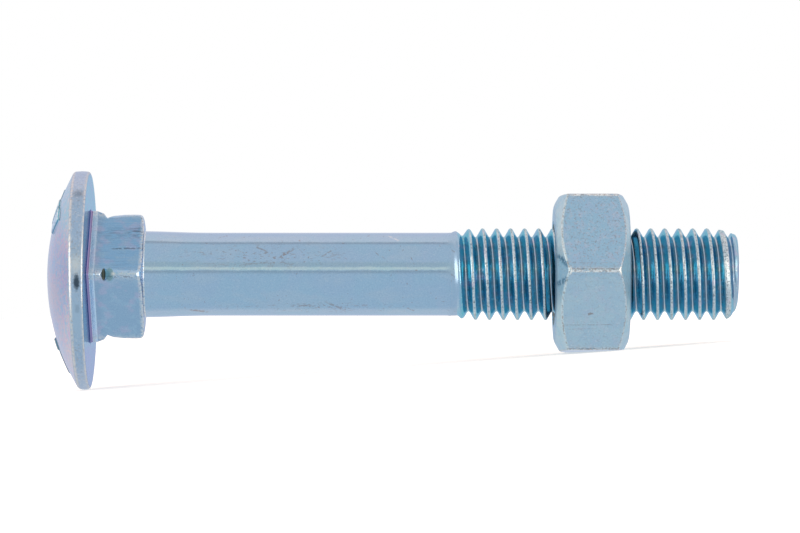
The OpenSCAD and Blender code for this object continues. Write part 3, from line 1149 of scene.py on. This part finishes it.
def nut_finish():
    """Pale faces with fine brown speckle, worn edges, and a few fine lines, with painted highlights along the
    corners and at the ends of the front corner.
    """
    finish = Finish("nut_zinc", NUT_LOWER, 0.18)
    finish.over(finish.z.fade(-0.5, 0.5), NUT_UPPER)
    finish.cloud(STEEL_BLUE, 0.3, (0.45, 0.62), 0.5, 3.0, 0.5)
    finish.cloud(PINK, 0.08, (0.52, 0.66), 0.8, 3.0, 0.5)
    upper = 0.35 + finish.z.fade(-2.0, 3.0) * 0.65
    finish.over(finish.noise(5.0, 4.0).fade(0.53, 0.66) * upper, BROWN, 0.45)
    finish.cloud(WORN_AND_HIGHLIGHT, 0.25, (0.56, 0.7), 4.0, 4.0, 0.2)
    for start, end, width, strength in NUT_LINES:
        finish.over(finish.broken_line(start, end, width, 0.03), BROWN, strength)
    # A painted highlight along each corner, beside a dark line, broken up.
    off = from_corner(finish) + finish.noise(0.9, 3.0) * 0.12
    broken = finish.noise(1.6, 3.0, 0.0, (0.7, 2.0, 2.0)).fade(0.4, 0.52)
    for place, width, colour, strength in ((0.2, 0.17, GLINT, 0.6), (-0.06, 0.1, DARK, 0.6)):
        line = abs(off - place).fade(width, width * 0.3)
        finish.over(line * broken, colour, strength)
    finish.over(finish.noise(1.6, 4.0, 0.8).fade(0.5, 0.66) * upper, SALMON, 0.14)
    finish.worn(0.55, WORN_AND_HIGHLIGHT, 0.5)
    # Painted highlights at both ends of the corner that faces the camera.
    for x in NUT_GLINTS:
        finish.over(finish.near((x, -9.4, 0.4), (0.35, 0.8, 0.6)), GLINT)
    finish.bump(finish.noise(5.0, 3.0), 0.008)
    return finish.done()


def nut_end_finish():
    """The turned ends of the nut, rough enough to stay pale."""
    finish = Finish("nut_end_zinc", END_PALE, 0.42)
    finish.cloud(CYAN, 0.3, (0.45, 0.62), 0.9, 3.0, 0.5)
    finish.cloud(WORN_AND_HIGHLIGHT, 0.5, (0.54, 0.68), 4.0, 4.0)
    finish.cloud(BROWN, 0.3, (0.58, 0.68), 4.4, 4.0, 0.2)
    # Painted reflection: dark teal lines on the chamfer by the front corner.
    for start, end in NUT_END_LINES:
        finish.over(finish.broken_line(start, end, 0.42, 0.2), UNDER_TEAL, 0.8)
    finish.worn(0.6, WORN_AND_HIGHLIGHT, 0.5)
    finish.bump(finish.noise(5.0, 3.0), 0.01)
    return finish.done()


# Stage: a floor that touches the head's rim and the nut, light and camera

FLOOR_SIZE = 3.0
# How far inside the nut's face its lower flat meets the floor
NUT_REST_IN = 0.7
# The floor's grey, and how much light it adds to the camera's view
PAPER = (0.72, 0.72, 0.72, 1)
PAPER_LIFT = 0.42
CAMERA_X = 33.16
CAMERA_HEIGHT = 0.83
CAMERA_DISTANCE = 470
SENSOR = 36
FIELD = 85.7
CLIP = (0.01, 10)
# What shiny surfaces see: degrees from the camera's side upwards, and the colour there
SKY = (
    (-174, (0.75, 0.82, 0.92)), (-163, (1.08, 1.06, 0.99)), (-143, (1.24, 1.15, 1.02)),
    (-122, (1.35, 1.17, 1.07)), (-104, (1.0, 1.0, 1.0)), (0, (1.0, 1.0, 1.0)),
    (4, (0.9, 0.87, 0.85)), (6.5, (0.79, 0.77, 0.74)), (8.5, (0.79, 0.77, 0.74)),
    (11, (1.0, 0.99, 0.97)), (24, (1.0, 0.95, 0.87)), (31, (1.0, 0.95, 0.87)),
    (37, (1.1, 1.03, 1.0)), (90, (1.1, 1.03, 1.0)), (94, (0.96, 0.86, 0.83)),
    (98, (0.82, 0.7, 0.67)), (102, (1.4, 1.18, 1.06)), (105, (1.55, 1.24, 1.12)),
    (130, (1.5, 1.21, 1.09)), (150, (1.3, 1.13, 1.03)), (163, (1.2, 1.1, 1.0)),
    (174, (0.75, 0.82, 0.92)),
)


def white_floor():
    """A large white floor that lies under the rim and the nut's lower flat."""
    rim_x, rim_z = 0.0, -RIM_R - HEAD_DROP - RIM_DROP
    nut_edge_x, nut_z = NUT_X + NUT_REST_IN, nut_low.z
    slope = (nut_z - rim_z) / (nut_edge_x - rim_x)
    reach = FLOOR_SIZE / MM / 2
    corners = [(x, y, rim_z + slope * (x - rim_x)) for x, y in
               ((-reach, -reach), (reach, -reach), (reach, reach), (-reach, reach))]
    mesh = bpy.data.meshes.new("floor")
    mesh.from_pydata(np.array(corners) * MM, [], [(0, 1, 2, 3)])
    floor = bpy.data.objects.new("floor", mesh)
    bpy.context.scene.collection.objects.link(floor)
    floor.visible_glossy = False
    material = bpy.data.materials.new("white_paper")
    material.use_nodes = True
    tree = material.node_tree
    tree.nodes.clear()
    path = tree.nodes.new("ShaderNodeLightPath")
    paper = tree.nodes.new("ShaderNodeBsdfDiffuse")
    paper.inputs["Color"].default_value = PAPER
    lift = tree.nodes.new("ShaderNodeEmission")
    from_camera = Number(tree, path.outputs["Is Camera Ray"])
    give(tree, from_camera * PAPER_LIFT, lift.inputs["Strength"])
    both = tree.nodes.new("ShaderNodeAddShader")
    tree.links.new(paper.outputs[0], both.inputs[0])
    tree.links.new(lift.outputs[0], both.inputs[1])
    out = tree.nodes.new("ShaderNodeOutputMaterial")
    tree.links.new(both.outputs[0], out.inputs["Surface"])
    mesh.materials.append(material)
    return floor


def soft_world():
    """White to the camera, and the soft surroundings of a small studio to everything else."""
    world = bpy.data.worlds.new("studio")
    bpy.context.scene.world = world
    world.use_nodes = True
    tree = world.node_tree
    coordinates = tree.nodes.new("ShaderNodeTexCoord").outputs["Generated"]
    _, y, z = parts_of(tree, coordinates)
    angle = z.do("ARCTAN2", y * -1.0)
    share = angle / (2 * math.pi) + 0.5
    ramp = tree.nodes.new("ShaderNodeValToRGB")
    give(tree, share, ramp.inputs[0])
    stops = ramp.color_ramp.elements
    for degrees, colour in SKY:
        stops.new(degrees / 360 + 0.5).color = (*colour, 1)
    stops[0].color = (*SKY[0][1], 1)
    stops[-1].color = (*SKY[-1][1], 1)
    path = tree.nodes.new("ShaderNodeLightPath")
    seen = mixed(tree, path.outputs["Is Camera Ray"], ramp.outputs[0], (1, 1, 1, 1))
    tree.links.new(seen, tree.nodes["Background"].inputs["Color"])


def lamp(name, azimuth, elevation, distance, size, radiance, colour=(1, 1, 1)):
    """A soft area lamp that faces the bolt's middle and that the camera doesn't see.

    Azimuth is in degrees from the camera's side towards +X, and elevation is upwards.
    """
    data = bpy.data.lights.new(name, "AREA")
    data.shape = "RECTANGLE"
    data.size, data.size_y = (side * MM for side in size)
    data.color = colour
    data.energy = radiance * math.pi * data.size * data.size_y
    obj = bpy.data.objects.new(name, data)
    azimuth, elevation = math.radians(azimuth), math.radians(elevation)
    out = Vector((math.sin(azimuth) * math.cos(elevation), -math.cos(azimuth) * math.cos(elevation),
                  math.sin(elevation)))
    obj.location = Vector((CAMERA_X, 0, 0)) * MM + out * distance * MM
    obj.rotation_euler = out.to_track_quat("Z", "Y").to_euler()
    obj.visible_camera = False
    bpy.context.scene.collection.objects.link(obj)


def camera():
    data = bpy.data.cameras.new("camera")
    data.sensor_width = SENSOR
    data.lens = SENSOR * CAMERA_DISTANCE / FIELD
    data.clip_start, data.clip_end = CLIP
    obj = bpy.data.objects.new("camera", data)
    obj.location = Vector((CAMERA_X, -CAMERA_DISTANCE, CAMERA_HEIGHT)) * MM
    obj.rotation_euler = (math.pi / 2, 0, 0)
    bpy.context.scene.collection.objects.link(obj)
    bpy.context.scene.camera = obj


# The two pieces

def make_bolt():
    first = -NECK_TURN
    directions = ring_directions(first)
    materials = {
        "dome": dome_finish(), "rim": rim_finish(), "underside": underside_finish(),
        "neck": neck_finish(), "shank": shank_finish(), "thread": thread_finish("thread_zinc"),
    }
    skin = Skin()
    head(skin, directions)
    neck(skin, first)
    shank(skin, directions)
    pole = np.array([dome_x(0, -HEAD_DROP) + DOME_WAVE / 2, 0, -HEAD_DROP])
    parts = [skin.part(pole), bolt_thread(first, materials["thread"])]
    return piece("carriage_bolt", parts, materials, close_at=bolt_high.x)


def make_nut():
    first = -NUT_TURN
    materials = {"nut": nut_finish(), "ends": nut_end_finish(),
                 "thread": thread_finish("tapped_zinc")}
    return piece("nut", [nut_skin(first).part(), nut_thread(first, materials["thread"])], materials)


for obj, body, node, slot in (
    (make_bolt(), "bolt", "bolt", "bolt_zinc"),
    (make_nut(), "nut", "hex_nut", "nut_zinc"),
):
    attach(obj, body)
    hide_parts(node)

white_floor()
soft_world()
lamp("strip", 0, 16, 600, (1400, 84), 0.5, (1, 0.68, 0.25))
lamp("left_side", -60, 7, 700, (600, 560), 2.4, (1, 0.8, 0.64))
lamp("right_side", 60, 7, 700, (600, 560), 2.4, (1, 0.8, 0.64))
camera()
bpy.context.scene.view_settings.view_transform = "Standard"
